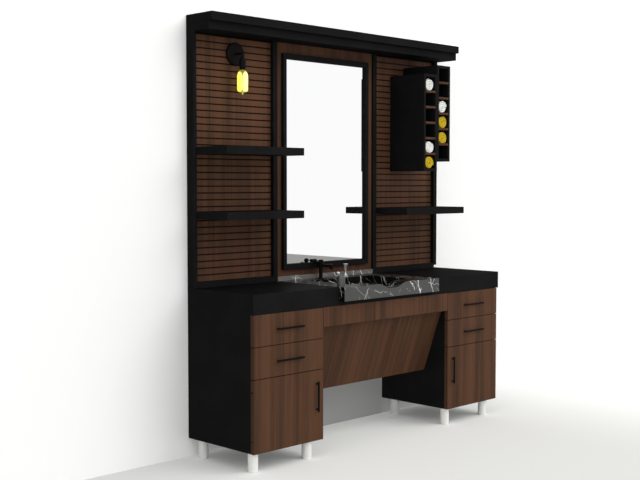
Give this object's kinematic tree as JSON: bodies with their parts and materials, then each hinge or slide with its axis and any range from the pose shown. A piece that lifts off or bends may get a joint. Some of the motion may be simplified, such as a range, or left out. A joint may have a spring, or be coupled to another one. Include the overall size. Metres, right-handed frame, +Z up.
{
  "type": "salon wall station",
  "caption": "Salon wall station with drawer pedestals, a marble neck-wash basin, slatted back wall, framed mirror, shelves, towel rack and lamp under a cornice",
  "frame": {"origin": "on the floor under the middle of the whole station's box", "axes": "+Z up, the front faces -Y, the wall is at the +Y side, +X to the right as seen from the front"},
  "size_m": [1.936, 0.53, 2.2],
  "materials": {
    "black_board": "smooth matte black laminate on board",
    "walnut": "dark walnut veneer, satin lacquer",
    "drawer_board": "clear lacquered birch ply",
    "black_metal": "satin black coat",
    "steel": "zinc plated",
    "satin_aluminium": "satin anodised",
    "marble": "polished black stone with thin white veins",
    "chrome": "polished",
    "satin_steel": "satin",
    "white_plastic": "moulded",
    "mirror": "silvered glass",
    "white_towel": "cotton terry",
    "yellow_towel": "cotton terry",
    "lamp_glass": "clear amber, lit"
  },
  "bodies": {
    "station": {"cabinet_sides": "black_board", "cabinet_decks": "black_board", "cabinet_backs": "black_board", "cabinet_legs": "satin_aluminium", "leg_bolts": "steel", "cabinet_runners": "steel", "door_hinges": "steel", "worktop": "black_board", "apron": "walnut", "service_panel": "walnut", "basin_support": "black_board", "basin_front_rim": "marble", "basin_deck": "marble", "basin_bowl": "marble", "upstand": "marble", "drain": "chrome", "trap": "white_plastic", "mixer_column": "black_metal", "deck_sockets": "chrome", "vacuum_breaker": "satin_steel", "wall_frame": "black_board", "backing_boards": "black_board", "left_slats": "walnut", "right_slats": "walnut", "centre_panel": "walnut", "cornice_upper": "black_board", "cornice_lower": "black_board", "shelves": "black_board", "wall_fixings": "steel", "mirror_frame": "black_board", "mirror_glass": "mirror", "towel_rack_case": "black_board", "towel_rack_shelves": "walnut", "white_towels": "white_towel", "yellow_towels": "yellow_towel", "lamp_bracket": "black_metal", "lamp_socket": "black_metal", "lamp_bulb": "lamp_glass"},
    "left_upper_drawer": {"left_upper_drawer_front": "walnut", "left_upper_drawer_box": "drawer_board", "left_upper_drawer_handle": "black_metal"},
    "left_lower_drawer": {"left_lower_drawer_front": "walnut", "left_lower_drawer_box": "drawer_board", "left_lower_drawer_handle": "black_metal"},
    "right_upper_drawer": {"right_upper_drawer_front": "walnut", "right_upper_drawer_box": "drawer_board", "right_upper_drawer_handle": "black_metal"},
    "right_lower_drawer": {"right_lower_drawer_front": "walnut", "right_lower_drawer_box": "drawer_board", "right_lower_drawer_handle": "black_metal"},
    "left_door_leaf": {"left_door": "walnut", "left_door_handle": "black_metal"},
    "right_door_leaf": {"right_door": "walnut", "right_door_handle": "black_metal"},
    "spout": {"mixer_spout": "black_metal"},
    "mixer_head": {"mixer_cap": "black_metal"},
    "lever": {"mixer_lever": "black_metal"},
    "drain_lift": {"lift_knob": "chrome"},
    "plug": {"drain_plug": "chrome"},
    "spray": {"hand_spray": "chrome"}
  },
  "joints": [
    {"name": "left_upper_drawer_slide", "type": "slide", "parent": "station", "child": "left_upper_drawer", "axis": [0, -1, 0], "range_m": [0, 0.35]},
    {"name": "left_lower_drawer_slide", "type": "slide", "parent": "station", "child": "left_lower_drawer", "axis": [0, -1, 0], "range_m": [0, 0.35]},
    {"name": "right_upper_drawer_slide", "type": "slide", "parent": "station", "child": "right_upper_drawer", "axis": [0, -1, 0], "range_m": [0, 0.35]},
    {"name": "right_lower_drawer_slide", "type": "slide", "parent": "station", "child": "right_lower_drawer", "axis": [0, -1, 0], "range_m": [0, 0.35]},
    {"name": "left_door_hinge", "type": "hinge", "parent": "station", "child": "left_door_leaf", "pos_m": [-0.9615, -0.219, 0.271], "axis": [0, 0, -1], "range_deg": [0, 110]},
    {"name": "right_door_hinge", "type": "hinge", "parent": "station", "child": "right_door_leaf", "pos_m": [0.9455, -0.219, 0.271], "axis": [0, 0, 1], "range_deg": [0, 110]},
    {"name": "spout_swivel", "type": "hinge", "parent": "station", "child": "spout", "pos_m": [-0.11, 0.181, 0.9246], "axis": [0, 0, 1], "range_deg": [-60, 60]},
    {"name": "mixer_turn", "type": "hinge", "parent": "station", "child": "mixer_head", "pos_m": [-0.11, 0.181, 0.9396], "axis": [0, 0, 1], "range_deg": [0, 60]},
    {"name": "lever_lift", "type": "hinge", "parent": "mixer_head", "child": "lever", "pos_m": [-0.11, 0.181, 0.9482], "axis": [0, 1, 0], "range_deg": [0, 20]},
    {"name": "drain_lift_slide", "type": "slide", "parent": "station", "child": "drain_lift", "axis": [0, 0, 1], "range_m": [0, 0.0098]},
    {"name": "plug_slide", "type": "slide", "parent": "station", "child": "plug", "axis": [0, 0, 1], "range_m": [-0.0098, 0]},
    {"name": "spray_pull", "type": "slide", "parent": "station", "child": "spray", "axis": [0, 0, 1], "range_m": [0, 0.055]}
  ],
  "couplings": [
    {"joint": "plug_slide", "follows": "drain_lift_slide", "ratio": -1}
  ]
}
